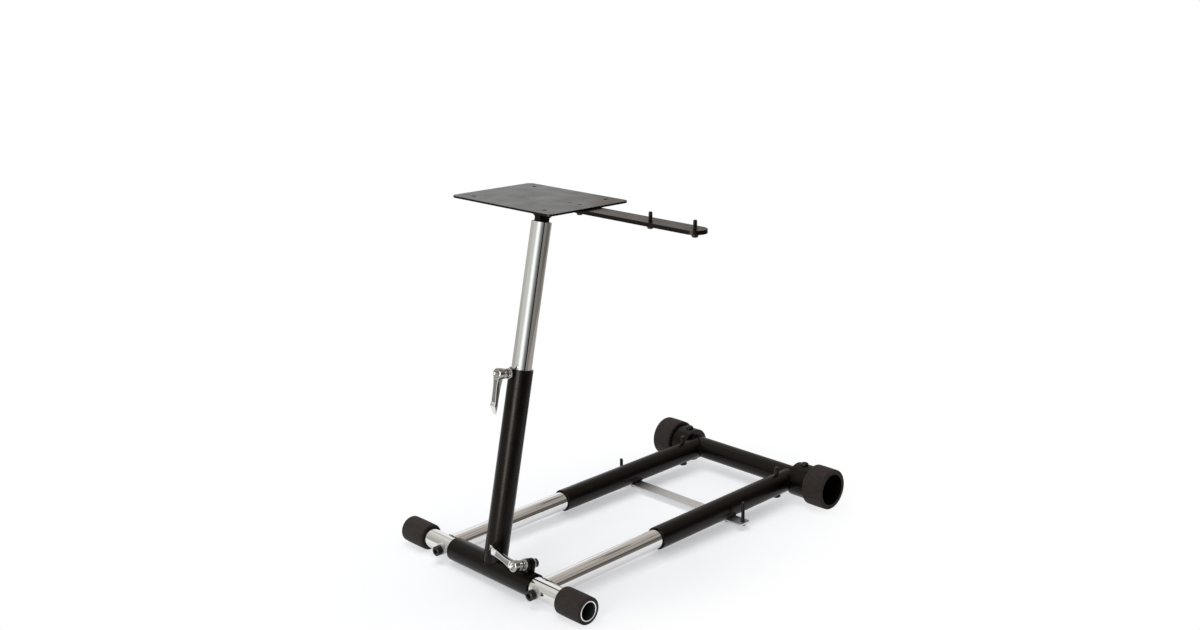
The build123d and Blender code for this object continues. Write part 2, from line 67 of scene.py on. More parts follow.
joints = {joint["name"]: joint for joint in frame["joints"]}
MM = 0.001

# Places and directions of the frame
FRONT = Vector(joints["column_tilt"]["pos_m"])
UP_COLUMN = Vector(joints["mast_height"]["axis"])
BACK_RAIL = Vector(joints["base_length"]["axis"])
TO_DRIVER = Vector(joints["upper_lever_turn"]["axis"])
RIGHT = Vector((1, 0, 0))
UP = Vector((0, 0, 1))
UP_RAIL = RIGHT.cross(BACK_RAIL)
LOWER_SCREW = Vector(joints["lower_lever_turn"]["pos_m"])
UPPER_SCREW = Vector(joints["upper_lever_turn"]["pos_m"])
SIDES = {"left": -1, "right": 1}

# Tube sizes
CHROME_R = 16 * MM
CHROME_BORE = 14 * MM
BLACK_R = 19 * MM
FOOT_R = 30 * MM


def middle(node):
    """Middle of a node's box."""
    low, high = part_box(node)
    return (low + high) / 2


# Materials
NOISE_LOW, NOISE_HIGH = 0.3, 0.7
PATCH_DETAIL, GRAIN_DETAIL = 4.0, 3.0
GRAIN_STRENGTH = 0.6


def node_of(tree, kind, **inputs):
    """A shader node with its named inputs set or linked."""
    made = tree.nodes.new(kind)
    for name, value in inputs.items():
        socket = made.inputs[name.replace("_", " ")]
        if isinstance(value, bpy.types.NodeSocket):
            tree.links.new(value, socket)
        else:
            socket.default_value = value
    return made


def noise(tree, place, scale, detail=2.0, stretch=None):
    """Noise over the piece's own coordinates; scale is in cycles a metre."""
    if stretch is not None:
        mapping = node_of(tree, "ShaderNodeMapping", Vector=place, Scale=stretch)
        place = mapping.outputs["Vector"]
    made = node_of(tree, "ShaderNodeTexNoise", Vector=place, Scale=scale, Detail=detail)
    return made.outputs["Fac"]


def spread(tree, value, low, high):
    """Spread a noise value over a range."""
    made = node_of(tree, "ShaderNodeMapRange", Value=value, From_Min=NOISE_LOW, From_Max=NOISE_HIGH,
                   To_Min=low, To_Max=high)
    return made.outputs["Result"]


def mixed(tree, value, first, second):
    """Mix two colours by a value."""
    made = tree.nodes.new("ShaderNodeMix")
    made.data_type = "RGBA"
    tree.links.new(value, made.inputs["Factor"])
    made.inputs["A"].default_value = (*first, 1)
    made.inputs["B"].default_value = (*second, 1)
    return made.outputs["Result"]


def finish_material(name, colours, metallic, rough, blotch, grain, depth, stretch=None, specular=0.5,
                    sheen=0.0, gloss_tint=(1, 1, 1)):
    """Material with blotchy colour and roughness and a fine bumpy grain."""
    material = bpy.data.materials.new(name)
    material.use_nodes = True
    tree = material.node_tree
    shader = tree.nodes["Principled BSDF"]
    place = tree.nodes.new("ShaderNodeTexCoord").outputs["Object"]
    patches = noise(tree, place, blotch, PATCH_DETAIL, stretch)
    fine = noise(tree, place, grain, GRAIN_DETAIL, stretch)
    bump = node_of(tree, "ShaderNodeBump", Height=fine, Strength=GRAIN_STRENGTH, Distance=depth)
    tree.links.new(mixed(tree, patches, *colours), shader.inputs["Base Color"])
    tree.links.new(spread(tree, patches, *rough), shader.inputs["Roughness"])
    tree.links.new(bump.outputs["Normal"], shader.inputs["Normal"])
    shader.inputs["Metallic"].default_value = metallic
    shader.inputs["Specular IOR Level"].default_value = specular
    shader.inputs["Sheen Weight"].default_value = sheen
    shader.inputs["Specular Tint"].default_value = (*gloss_tint, 1)
    return material


BRIGHT = ((0.74, 0.735, 0.73), (0.80, 0.795, 0.79))
CHROME = finish_material("chrome_tube", BRIGHT, metallic=1.0, rough=(0.025, 0.05), blotch=9, grain=60,
                         depth=0.015 * MM)
BLACK = finish_material("black_paint", ((0.0018, 0.0011, 0.0009), (0.0030, 0.0020, 0.0017)), metallic=0.0,
                        rough=(0.25, 0.33), blotch=30, grain=700, depth=0.05 * MM, specular=0.18,
                        gloss_tint=(1.0, 0.86, 0.80))
FOAM = finish_material("foam", ((0.012, 0.0090, 0.0078), (0.040, 0.0315, 0.0285)), metallic=0.0,
                       rough=(0.86, 0.97), blotch=160, grain=1500, depth=0.6 * MM, specular=0.2, sheen=0.05)
OXIDE = finish_material("black_oxide", ((0.006, 0.0050, 0.0048), (0.011, 0.0095, 0.0090)), metallic=0.0,
                        rough=(0.24, 0.36), blotch=120, grain=900, depth=0.03 * MM, specular=0.3)
ZINC = finish_material("zinc_plate", ((0.60, 0.60, 0.605), (0.70, 0.70, 0.705)), metallic=0.8,
                       rough=(0.34, 0.46), blotch=40, grain=500, depth=0.03 * MM, stretch=(1, 0.15, 1))
LEVER = finish_material("lever_chrome", BRIGHT, metallic=1.0, rough=(0.06, 0.12), blotch=60, grain=220,
                        depth=0.05 * MM)
# Lever chrome darkened for the hub: the lower tone is a painted dark reflection
HUB = finish_material("lever_hub", ((0.36, 0.345, 0.32), (0.48, 0.46, 0.43)), metallic=1.0,
                      rough=(0.08, 0.15), blotch=80, grain=260, depth=0.05 * MM)
# Lever chrome darkened for the sides of a handle: the dark tone is a painted reflection
FLANK_DARK_REFLECTION = finish_material("lever_flank_painted_reflection", ((0.17, 0.162, 0.155), (0.24, 0.23, 0.22)), metallic=1.0,
                        rough=(0.08, 0.15), blotch=80, grain=260, depth=0.05 * MM)
# Near-black chrome that paints shade and dark reflection into the grooves of a lever's hub
GROOVE = finish_material("lever_groove_painted_shade", ((0.020, 0.020, 0.020), (0.045, 0.044, 0.043)), metallic=1.0,
                         rough=(0.26, 0.38), blotch=150, grain=900, depth=0.05 * MM)
RECESS = finish_material("lever_recess", ((0.26, 0.26, 0.255), (0.36, 0.36, 0.35)), metallic=1.0,
                         rough=(0.30, 0.42), blotch=150, grain=900, depth=0.1 * MM)
# Dark teal lining that paints the shade inside the front tube's open ends
TUBE_SHADE = finish_material("tube_inside_painted_shade", ((0.012, 0.017, 0.017), (0.024, 0.031, 0.031)), metallic=0.0,
                         rough=(0.45, 0.6), blotch=40, grain=400, depth=0.05 * MM)
SLOT_MATERIAL = {
    "chrome_tube": CHROME, "black_paint": BLACK, "foam": FOAM, "black_screw": OXIDE, "plated_steel": ZINC,
    "lever_chrome": LEVER,
}
node_slot = {part["node"]: part["material_slot"] for part in frame["record"]["subparts"]}
node_body = {node: body for body, group in frame["record"]["behaviour"]["bodies"].items() for node in group}
for node, piece in nodes.items():
    piece.data.materials.clear()
    piece.data.materials.append(SLOT_MATERIAL[node_slot[node]])


# Pieces
SAME_POINT = 1e-6
FLAT_ANGLE = radians(0.4)
EDGE_ANGLE = radians(28)


def to_mesh(build, name):
    """Mesh of a finished build."""
    mesh = bpy.data.meshes.new(name)
    build.to_mesh(mesh)
    build.free()
    return mesh


def closed_mesh(build, name):
    """Mesh of a finished closed build, with its faces turned outwards."""
    bmesh.ops.recalc_face_normals(build, faces=build.faces)
    return to_mesh(build, name)


def bridge(build, one, two):
    """Faces between two closed rings of points."""
    faces = []
    for k in range(len(one)):
        follow = (k + 1) % len(one)
        faces.append(build.faces.new((one[k], one[follow], two[follow], two[k])))
    return faces


def add_piece(name, mesh, replaced, slot=None, body=None, sharp=35, material=None):
    """Link a mesh as a piece that rides on a body and stands for CAD nodes."""
    piece = bpy.data.objects.new(name, mesh)
    scene.collection.objects.link(piece)
    slot = slot or node_slot[replaced[0]]
    mesh.materials.append(material or SLOT_MATERIAL[slot])
    for polygon in mesh.polygons:
        polygon.use_smooth = True
    mesh.set_sharp_from_angle(angle=radians(sharp))
    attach(piece, body or node_body[replaced[0]])
    if replaced:
        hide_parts(*replaced)
    return piece


def softened(node, width):
    """Stand-in for a node with its sharp edges rounded off, shaded so that its flat faces stay flat."""
    build = bmesh.new()
    build.from_mesh(nodes[node].data)
    bmesh.ops.remove_doubles(build, verts=build.verts, dist=SAME_POINT)
    bmesh.ops.dissolve_limit(build, angle_limit=FLAT_ANGLE, verts=build.verts, edges=build.edges)
    edges = [e for e in build.edges if len(e.link_faces) == 2 and e.calc_face_angle(0) > EDGE_ANGLE]
    bmesh.ops.bevel(build, geom=edges, offset=width, segments=2, profile=0.5, affect="EDGES",
                    clamp_overlap=True)
    normals = [sum((face.normal * face.calc_area() for face in vert.link_faces), Vector()).normalized()
               for vert in build.verts]
    mesh = to_mesh(build, node + "_soft")
    add_piece(node + "_soft", mesh, [node], sharp=180)
    mesh.normals_split_custom_set_from_vertices(normals)


def frame_matrix(origin, axis, across):
    """Matrix that puts local z along an axis and local x across it."""
    z = axis.normalized()
    x = (across - z * across.dot(z)).normalized()
    y = z.cross(x)
    return Matrix.Translation(origin) @ Matrix((x, y, z)).transposed().to_4x4()


# Foam feet
FOAM_GAP = 0.05 * MM
FOAM_SEGMENTS = 120


def foam_foot(node, bore):
    """Foam ring with round edges, pressed flat on the floor and swelling a little beside the flat."""
    low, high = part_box(node)
    length = high.x - low.x
    radius = (high.y - low.y) / 2
    axis = Vector((low.x, (low.y + high.y) / 2, high.z - radius))
    outer, inner = 2.2 * MM, 0.8 * MM
    crown, swell = 0.25 * MM, 0.02
    edge_steps, crown_steps = 6, 8
    end = [(0.0, bore + inner)]
    for i in range(edge_steps + 1):
        turn = i / edge_steps * pi / 2
        end.append((outer * (1 - cos(turn)), radius - outer + outer * sin(turn)))
    profile = [(inner, bore)] + end
    for i in range(1, crown_steps):
        x = outer + (length - 2 * outer) * i / crown_steps
        profile.append((x, radius + crown * sin(pi * i / crown_steps)))
    profile += [(length - x, r) for x, r in reversed(end)] + [(length - inner, bore)]
    build = bmesh.new()
    rings = []
    for k in range(FOAM_SEGMENTS):
        turn = 2 * pi * k / FOAM_SEGMENTS
        ring = []
        for x, r in profile:
            z = axis.z + r * sin(turn)
            y = axis.y + r * cos(turn) * (1 + swell * max(0, -sin(turn)) ** 6)
            ring.append(build.verts.new((axis.x + x, y, max(z, 0.0))))
        rings.append(ring)
    for one, two in zip(rings, rings[1:] + rings[:1]):
        bridge(build, one, two)
    piece = add_piece(node + "_ring", closed_mesh(build, node + "_ring"), [node], sharp=50)


for side in SIDES:
    foam_foot(f"front_foam_{side}", CHROME_R + FOAM_GAP)
    foam_foot(f"rear_foam_{side}", FOOT_R + FOAM_GAP)

# CAD shapes with their edges rounded, by a width in millimetres
EDGE_WIDTHS = {
    "wheel_plate": 0.5, "shifter_arm": 0.8, "pedal_bar": 0.5, "tilt_cheek_left": 0.5, "tilt_cheek_right": 0.5,
    "saddle_washer_left": 0.5, "saddle_washer_right": 0.5, "upper_clamp_nut": 0.5, "upper_clamp_washer": 0.4,
    "lower_clamp_washers": 0.4, "tilt_sleeve": 0.4,
}
for node, width in EDGE_WIDTHS.items():
    softened(node, width * MM)


# Fasteners: diameter and pitch of each thread, then values that all of them share
M6 = (6 * MM, 1 * MM)
M8 = (8 * MM, 1.25 * MM)
M10 = (10 * MM, 1.5 * MM)
THREAD_DEPTH = 0.54
THREAD_CREST = 1.25
THREAD_STEPS = 6
HEX_FLAT = 0.94
HEX_SLOPE = tan(radians(30))
CLOSE_R = 0.3 * MM
SOCKET = 4 * MM


def regular(sides, across):
    """Radius, at an angle, of a regular polygon with a size across its flats."""
    half = pi / sides
    return lambda turn: across / 2 / cos((turn + half) % (2 * half) - half)


def in_mm(*rows):
    """Rows from millimetres. A radius that is a function is in metres already."""
    return [(height * MM, radius if callable(radius) else radius * MM) for height, radius in rows]


def rings_mesh(name, rows, segments, hollow=False):
    """Mesh of rings about local z. A row is (height, radius), and each may be a function of the angle."""
    build = bmesh.new()
    rings = []
    for height, radius in rows:
        ring = []
        for k in range(segments):
            turn = 2 * pi * k / segments
            h = height(turn) if callable(height) else height
            r = radius(turn) if callable(radius) else radius
            ring.append(build.verts.new((r * cos(turn), r * sin(turn), h)))
        rings.append(ring)
    pairs = list(zip(rings, rings[1:]))
    if hollow:
        pairs.append((rings[-1], rings[0]))
    else:
        build.faces.new(rings[0])
        build.faces.new(rings[-1])
    for one, two in pairs:
        bridge(build, one, two)
    return closed_mesh(build, name)


def thread(low, high, radius, pitch):
    """Rows of a screw thread between two heights, running out to its core at both ends."""
    depth = THREAD_DEPTH * pitch
    rows = []
    count = round((high - low) / pitch * THREAD_STEPS)
    for i in range(count + 1):
        z = low + (high - low) * i / count
        fade = min(1, i / THREAD_STEPS, (count - i) / THREAD_STEPS)

        def ridge(turn, z=z, fade=fade):
            wave = abs(2 * ((z / pitch - turn / (2 * pi)) % 1) - 1)
            return radius - depth + depth * fade * min(1, THREAD_CREST * wave)

        rows.append((z, ridge))
    return rows


def threaded_shank(start, length, screw):
    """Rows of a thread from a height to the chamfered end of its shank."""
    diameter, pitch = screw
    core = diameter / 2 - THREAD_DEPTH * pitch
    return thread(start, length - 0.6 * MM, diameter / 2, pitch) + [
        (length - 0.5 * MM, core), (length, core - 0.4 * MM), (length, CLOSE_R),
    ]


def node_axis(node, axis, across):
    """Matrix at a node's low end along an axis, and the node's length along it."""
    spans = [v.co.dot(axis) for v in nodes[node].data.vertices]
    centre = middle(node)
    origin = centre + axis * (min(spans) - centre.dot(axis))
    return frame_matrix(origin, axis, across), max(spans) - min(spans)


def add_fastener(node, rows, axis, across=RIGHT, segments=48, hollow=False):
    """Turned piece that stands for a node, its rows measured from the node's low end along an axis."""
    matrix, length = node_axis(node, axis, across)
    mesh = rings_mesh(node + "_fastener", rows(length), segments, hollow)
    mesh.transform(matrix)
    add_piece(node + "_fastener", mesh, [node], sharp=25)


def hex_head(across, height):
    """Rows of a hexagon head from its chamfered outer face to its seat."""
    flat = HEX_FLAT * across / 2
    edge = 0.3 * MM
    shape = regular(6, across)
    return [
        (0, 0.5 * flat), (0, flat), (lambda turn: (shape(turn) - flat) * HEX_SLOPE, shape),
        (height - edge, shape), (height, lambda turn: shape(turn) - edge),
    ]


def button_head(diameter, height, steps=8):
    """Rows of a domed head with a hexagon socket, from its outer face to its seat."""
    key = regular(6, SOCKET)
    depth, rim = 0.6 * height, 0.25 * height
    lip, edge, cone = 0.25 * MM, 0.2 * MM, 0.6 * MM
    inner = SOCKET / 2 + 1.0 * MM
    rows = [(depth + cone, CLOSE_R), (depth, key), (lip, key), (0, lambda turn: key(turn) + lip)]
    for i in range(steps + 1):
        turn = pi / 2 * i / steps
        rows.append(((height - rim) * (1 - cos(turn)), inner + (diameter / 2 - inner) * sin(turn)))
    return rows + [(height - edge, diameter / 2), (height, diameter / 2 - edge)]


def necked_stud(screw, head, height, neck_top):
    """Rows, for a length, of a button head stud with a square neck and a threaded shank."""
    def rows(length):
        neck = regular(4, screw[0] + 0.4 * MM)
        return (button_head(head, height) + [(height, neck), (neck_top, neck)]
                + threaded_shank(neck_top, length, screw))
    return rows


def hex_bolt(screw, across, height, thread_from):
    """Rows, for a length, of a hexagon head bolt whose thread starts at a height."""
    def rows(length):
        radius = screw[0] / 2
        return (hex_head(across, height) + [(height, radius), (thread_from - 1 * MM, radius)]
                + threaded_shank(thread_from, length, screw))
    return rows


def hex_nut(across, bore):
    """Rows, for a length, of a nut, chamfered at both faces, round its bore."""
    def rows(length):
        flat = HEX_FLAT * across / 2
        lead = 0.5 * MM
        shape = regular(6, across)
        return [
            (0, bore + lead), (0, flat), (lambda turn: (shape(turn) - flat) * HEX_SLOPE, shape),
            (lambda turn: length - (shape(turn) - flat) * HEX_SLOPE, shape), (length, flat),
            (length, bore + lead), (length - lead, bore), (lead, bore),
        ]
    return rows


def cap_screw(length):
    """Rows of a knurled socket head screw, from the tip of its shank to the top of its head."""
    diameter, pitch = M10
    radius, head_r = diameter / 2, 8 * MM
    band_r = head_r - 0.1 * MM
    seat = length - 10 * MM
    thread_end = 24 * MM
    lip = 0.35 * MM
    key = regular(6, 8 * MM)

    def knurl(turn):
        return head_r - 0.22 * MM * (0.5 - 0.5 * cos(36 * turn))

    rows = [(0, CLOSE_R), (0, radius - 1.2 * MM), (0.5 * MM, radius - 0.8 * MM)]
    rows += thread(0.6 * MM, thread_end, radius, pitch)
    rows += [(thread_end + 1 * MM, radius), (seat, radius)]
    rows += [(seat, band_r - 0.3 * MM), (seat + 0.3 * MM, band_r), (seat + 0.9 * MM, band_r)]
    rows += [(seat + 1.1 * MM, knurl), (length - 1.6 * MM, knurl)]
    rows += [(length - 1.4 * MM, band_r), (length - 0.8 * MM, band_r)]
    rows += [(length - 0.2 * MM, band_r - 0.6 * MM), (length, band_r - 1.0 * MM)]
    rows += [(length, lambda turn: key(turn) + lip), (length - lip, key), (length - 5 * MM, key)]
    rows.append((length - 6.2 * MM, CLOSE_R))
    return rows


def dome_bolt(length, steps=10):
    """Rows of a domed bolt, from the tip of its shank to the crown of its head."""
    head, rim, edge = 5 * MM, 1.2 * MM, 0.2 * MM
    radius, shank, lead = 7 * MM, M8[0] / 2, 0.6 * MM
    seat = length - head
    rows = [(0, CLOSE_R), (0, shank - lead), (lead, shank), (seat, shank), (seat, radius - edge),
            (seat + edge, radius), (seat + rim, radius)]
    for i in range(1, steps + 1):
        turn = pi / 2 * i / steps
        rows.append((seat + rim + (head - rim) * sin(turn), max(radius * cos(turn), 0.2 * MM)))
    return rows


ARM_HEAD, ARM_HEAD_HEIGHT = 10.5 * MM, 6.5 * MM


def arm_bolt(length):
    """Rows of a button head bolt with a plain shank, from its head to its tip."""
    radius, lead = M6[0] / 2, 0.4 * MM
    return button_head(ARM_HEAD, ARM_HEAD_HEIGHT) + [
        (ARM_HEAD_HEIGHT, radius), (length - lead, radius), (length, radius - lead), (length, CLOSE_R),
    ]


pedal_stud = necked_stud(M6, head=11 * MM, height=3.6 * MM, neck_top=6.6 * MM)
pedal_bolt = hex_bolt(M8, across=13 * MM, height=5 * MM, thread_from=41 * MM)
lock_screw = hex_bolt(M8, across=13 * MM, height=5 * MM, thread_from=6.2 * MM)
shifter_stud = necked_stud(M6, head=ARM_HEAD, height=ARM_HEAD_HEIGHT, neck_top=12.5 * MM)
tilt_bolt = hex_bolt(M10, across=16 * MM, height=5 * MM, thread_from=20 * MM)
for side in SIDES:
    add_fastener(f"rail_screw_{side}", cap_screw, -BACK_RAIL, segments=144)
    add_fastener(f"rear_foot_bolt_{side}", dome_bolt, UP)
    add_fastener(f"pedal_stud_front_{side}", pedal_stud, UP_RAIL)
    add_fastener(f"pedal_stud_rear_{side}", pedal_bolt, UP_RAIL)
    add_fastener(f"rail_lock_screw_{side}", lock_screw, UP_RAIL)
for end in ("inner", "outer"):
    add_fastener(f"shifter_stud_{end}", shifter_stud, UP)
    add_fastener(f"arm_bolt_{end}", arm_bolt, UP)
add_fastener("tilt_bolt", tilt_bolt, -RIGHT, UP_COLUMN)
add_fastener("tilt_nut", hex_nut(across=16 * MM, bore=5.2 * MM), RIGHT, UP_COLUMN, hollow=True)
add_fastener("lower_clamp_nut", hex_nut(across=13 * MM, bore=4.2 * MM), TO_DRIVER, hollow=True)


# Chrome tubes
TUBE_SEGMENTS = 160
TUBE_RIM = 0.4 * MM
COPE_GAP = 0.2 * MM


def tube_rows(length, coped):
    """Rows of a chrome tube with rounded rims; a coped start fits on a tube of its own size at height 0."""
    def cope(radius):
        return lambda turn: sqrt((CHROME_R + COPE_GAP) ** 2 - (radius * sin(turn)) ** 2)

    outer, inner = CHROME_R - TUBE_RIM, CHROME_BORE + TUBE_RIM
    far = [(length - TUBE_RIM, CHROME_R), (length, outer), (length, inner), (length - TUBE_RIM, CHROME_BORE)]
    if coped:
        return far + [(cope(CHROME_BORE), CHROME_BORE), (cope(CHROME_R), CHROME_R)]
    return far + [(TUBE_RIM, CHROME_BORE), (0, inner), (0, outer), (TUBE_RIM, CHROME_R)]


for node, axis, coped in (("front_cross_tube", RIGHT, False), ("mast_tube", UP_COLUMN, False),
                          ("rail_left", BACK_RAIL, True), ("rail_right", BACK_RAIL, True)):
    matrix, length = node_axis(node, axis, RIGHT if coped else TO_DRIVER)
    if coped:
        origin = Vector((middle(node).x, FRONT.y, FRONT.z))
        length += (matrix.translation - origin).dot(axis)
        matrix = frame_matrix(origin, axis, RIGHT)
    mesh = rings_mesh(node + "_bright", tube_rows(length, coped), TUBE_SEGMENTS, hollow=True)
    mesh.transform(matrix)
    add_piece(node + "_bright", mesh, [node])


# Clamp levers, in millimetres from the seat of the hub
RING_TOP = 3
HEAD_FOOT = 12.6
HUB_TOP = 22.5
HUB_R = 9
GROOVE_R = 6.2
# Hub faces inside this radius, between the ring top and the head, take the painted groove shade
DARK_R = 6.3
CAP_ROUND = 2.4
HUB_RINGS = ((6, 8.4, 7.9), (9.4, 11.6, 8.2))
HUB_SEGMENTS = 96


def lever_hub(reach, steps=8):
    """Rows of a lever's turned hub, from the tip of its screw to the small screw in its cap."""
    diameter, pitch = M8
    screw = diameter / 2
    key = regular(6, 3 * MM)

    def teeth(turn):
        return 6.4 * MM - 0.45 * MM * (0.5 - 0.5 * cos(24 * turn))

    rows = in_mm((-reach, 0.3), (-reach, 2.9), (-reach + 0.5, 3.3))
    rows += thread((-reach + 0.6) * MM, -1.2 * MM, screw, pitch)
    rows += [(-1.0 * MM, screw), (0, screw)]
    rows += in_mm((0, 7.1), (0.4, 7.5), (2.6, 7.5), (RING_TOP, 7.1), (RING_TOP, 6.1))
    rows += in_mm((3.2, teeth), (5.8, teeth), (6, 6.1))
    for low, high, radius in HUB_RINGS:
        rows += in_mm((low, radius - 0.5), (low + 0.5, radius), (high - 0.5, radius), (high, radius - 0.5))
        rows += in_mm((high, GROOVE_R), (high + 1, GROOVE_R))
    rows += in_mm((HEAD_FOOT, HUB_R - 0.8), (HEAD_FOOT + 0.3, HUB_R - 0.25), (HEAD_FOOT + 0.9, HUB_R))
    for i in range(steps + 1):
        turn = pi / 2 * i / steps
        rows += in_mm((HUB_TOP - CAP_ROUND * (1 - sin(turn)), HUB_R - CAP_ROUND * (1 - cos(turn))))
    rows += in_mm((HUB_TOP, 5.4), (HUB_TOP - 0.2, 5.1), (HUB_TOP - 1.5, 4.9), (HUB_TOP - 1.5, 3))
    rows += in_mm((HUB_TOP - 0.3, 3), (HUB_TOP, 2.7), (HUB_TOP, lambda turn: key(turn) + 0.2 * MM))
    rows += in_mm((HUB_TOP - 0.2, key), (HUB_TOP - 2, key), (HUB_TOP - 2.6, 0.3))
    return rows


def hub_mesh(name, reach):
    """Mesh of a lever's hub with painted shade and dark reflection in the grooves between its rings."""
    mesh = rings_mesh(name, lever_hub(reach), HUB_SEGMENTS)
    for face in mesh.polygons:
        inner = face.center.xy.length < DARK_R * MM
        face.material_index = int(inner and RING_TOP * MM <= face.center.z < HEAD_FOOT * MM)
    return mesh


# Handle stations: place, half width, low and high edge, depth of the recess (a crown if negative)
HANDLE = (
    (1, 6.3, 13.2, 22.1, 0), (6, 6.2, 13.2, 22.4, 0), (9, 5.8, 13.2, 22.4, 0), (10, 5.6, 13.2, 22.4, 1.2),
    (16, 4.8, 13.2, 22.3, 1.2), (20, 4.5, 13.5, 22.15, 1.2), (26, 4.5, 14.0, 21.9, 1.2),
    (34, 4.8, 14.6, 21.5, 1.2), (41, 5.1, 15.1, 21.1, 1.2), (44, 5.25, 15.3, 21.0, 1.2),
    (45, 5.3, 15.4, 21.05, 0), (47, 5.5, 15.5, 21.5, -0.4), (49.4, 5.8, 15.6, 22.1, -0.8),
    (50.4, 5.8, 15.6, 21.8, -0.9), (54, 5.3, 15.6, 19.9, -1.0), (58, 4.7, 15.6, 17.9, -1.0),
    (61.5, 4.2, 15.6, 16.5, -0.7), (62.6, 3.8, 15.7, 16.2, -0.4), (63, 3.3, 15.9, 16.1, -0.1),
)
# DARK faces, on the handle's sides, take the darkened flank chrome, a painted dark reflection
POLISHED, DULL, DARK = 0, 1, 2
CORNER_STEPS = 5


def handle_section(half, low, high, recess):
    """Points round a handle's cross-section, each with the material of the face that follows it; the sides
    take the dark flank chrome, a painted reflection.
    """
    edge = min(0.9, (high - low) / 2.2, half / 2)
    rim = half - 1.7
    lip = rim + 0.35
    bow = min(0.5, (high - low) / 12)
    shoulder = recess if recess > 0 else 0.6 * recess
    floor_finish = DULL if recess > 0 else POLISHED
    corners = ((half - edge, low + edge, -90), (half - edge, high - edge, 0),
               (edge - half, high - edge, 90), (edge - half, low + edge, 180))
    points = []
    for y, z, first in corners:
        for i in range(CORNER_STEPS + 1):
            turn = radians(first + 90 / CORNER_STEPS * i)
            finish = DARK if abs(cos(turn)) > 0.9 else POLISHED
            points.append((y + edge * cos(turn), z + edge * sin(turn), finish))
        if first in (-90, 90):
            side = 1 if first == -90 else -1
            for t in (0.25, 0.5, 0.75):
                flank = side * (half + 4 * bow * t * (1 - t))
                points.append((flank, z + side * t * (high - low - 2 * edge), DARK))
        if first == 0:
            points += [(lip, high, POLISHED), (rim, high - shoulder, floor_finish),
                       (0, high - recess, floor_finish), (-rim, high - shoulder, POLISHED),
                       (-lip, high, POLISHED)]
    return points


def lever_handle():
    """Mesh of a handle through its stations, along local x with its face at local z."""
    build = bmesh.new()
    sections = [handle_section(*station[1:]) for station in HANDLE]
    rings = [[build.verts.new((station[0] * MM, y * MM, z * MM)) for y, z, finish in section]
             for station, section in zip(HANDLE, sections)]
    for one, two, first, second in zip(rings, rings[1:], sections, sections[1:]):
        for k, face in enumerate(bridge(build, one, two)):
            if first[k][2] == second[k][2]:
                face.material_index = first[k][2]
    build.faces.new(rings[0])
    build.faces.new(rings[-1])
    return closed_mesh(build, "lever_handle")


# Levers: place of the screw, seat of the hub over it, reach of the screw under the seat, rise of the handle
LEVERS = (("lower", LOWER_SCREW, 10.3, 30.3, 10), ("upper", UPPER_SCREW, 27.8, 11.5, -90))
for name, screw, seat, reach, rise in LEVERS:
    handle_way = UP_COLUMN * sin(radians(rise)) - RIGHT * cos(radians(rise))
    matrix = frame_matrix(screw + TO_DRIVER * seat * MM, TO_DRIVER, handle_way)
    hub = hub_mesh(name + "_lever_hub", reach)
    for part, mesh, sharp, finishes_and_shades in (("hub", hub, 28, (HUB, GROOVE)),
                                        ("handle", lever_handle(), 40, (LEVER, RECESS, FLANK_DARK_REFLECTION))):
        mesh.transform(matrix)
        add_piece(f"{name}_lever_{part}", mesh, [f"{name}_clamp_lever"], sharp=sharp, material=finishes_and_shades[0])
        for finish in finishes_and_shades[1:]:
            mesh.materials.append(finish)


# Weld beads and dark rings at the rail joints
BEAD_SIDES = 10
WELD_R, WELD_GAP, WELD_POINTS = 1.2 * MM, 0.4 * MM, 120
JOINT_RING_R, JOINT_RING_GAP, JOINT_RING_POINTS = 0.75 * MM, 0.25 * MM, 96
COPE_LOW = 6 * MM
BAR_FACE, BAR_EDGE, BAR_WELD_HALF = 1.9 * MM, 12.4 * MM, 7
CUP_SEGMENTS = 96


def bead(name, points, radius, body, closed=True, ripple=(0.86, 1.0, 1.06)):
    """Bead along a line of points, whose radius goes through the ripple over and over."""
    build = bmesh.new()
    count = len(points)
    rings = []
    side = None
    for i, point in enumerate(points):
        ahead = points[(i + 1) % count] if closed or i + 1 < count else point
        behind = points[i - 1] if closed or i else point
        along = (ahead - behind).normalized()
        if side is None:
            side = along.orthogonal().normalized()
        else:
            side = (side - along * side.dot(along)).normalized()
        other = along.cross(side)
        size = radius * ripple[i % len(ripple)]
        ring = []
        for k in range(BEAD_SIDES):
            turn = 2 * pi * k / BEAD_SIDES
            ring.append(build.verts.new(point + (side * cos(turn) + other * sin(turn)) * size))
        rings.append(ring)
    pairs = list(zip(rings, rings[1:]))
    if closed:
        shift = min(range(BEAD_SIDES), key=lambda k: (rings[0][k].co - rings[-1][0].co).length)
        pairs.append((rings[-1], rings[0][shift:] + rings[0][:shift]))
    else:
        build.faces.new(rings[0])
        build.faces.new(rings[-1])
    for one, two in pairs:
        bridge(build, one, two)
    add_piece(name, closed_mesh(build, name), [], "black_paint", body, sharp=60)


def saddle_line(origin, along, radius, count):
    """Line where a tube meets a crosswise tube of its own radius at a right angle."""
    side = along.cross(RIGHT)
    points = []
    for i in range(count):
        turn = 2 * pi * i / count
        across = radius * cos(turn)
        rise = max(abs(across), COPE_LOW)
        points.append(origin + RIGHT * across + side * (radius * sin(turn)) + along * rise)
    return points


def circle_line(centre, axis, radius, count):
    """Line round a tube's end."""
    matrix = frame_matrix(centre, axis, UP)
    turns = [2 * pi * i / count for i in range(count)]
    return [matrix @ Vector((radius * cos(turn), radius * sin(turn), 0)) for turn in turns]


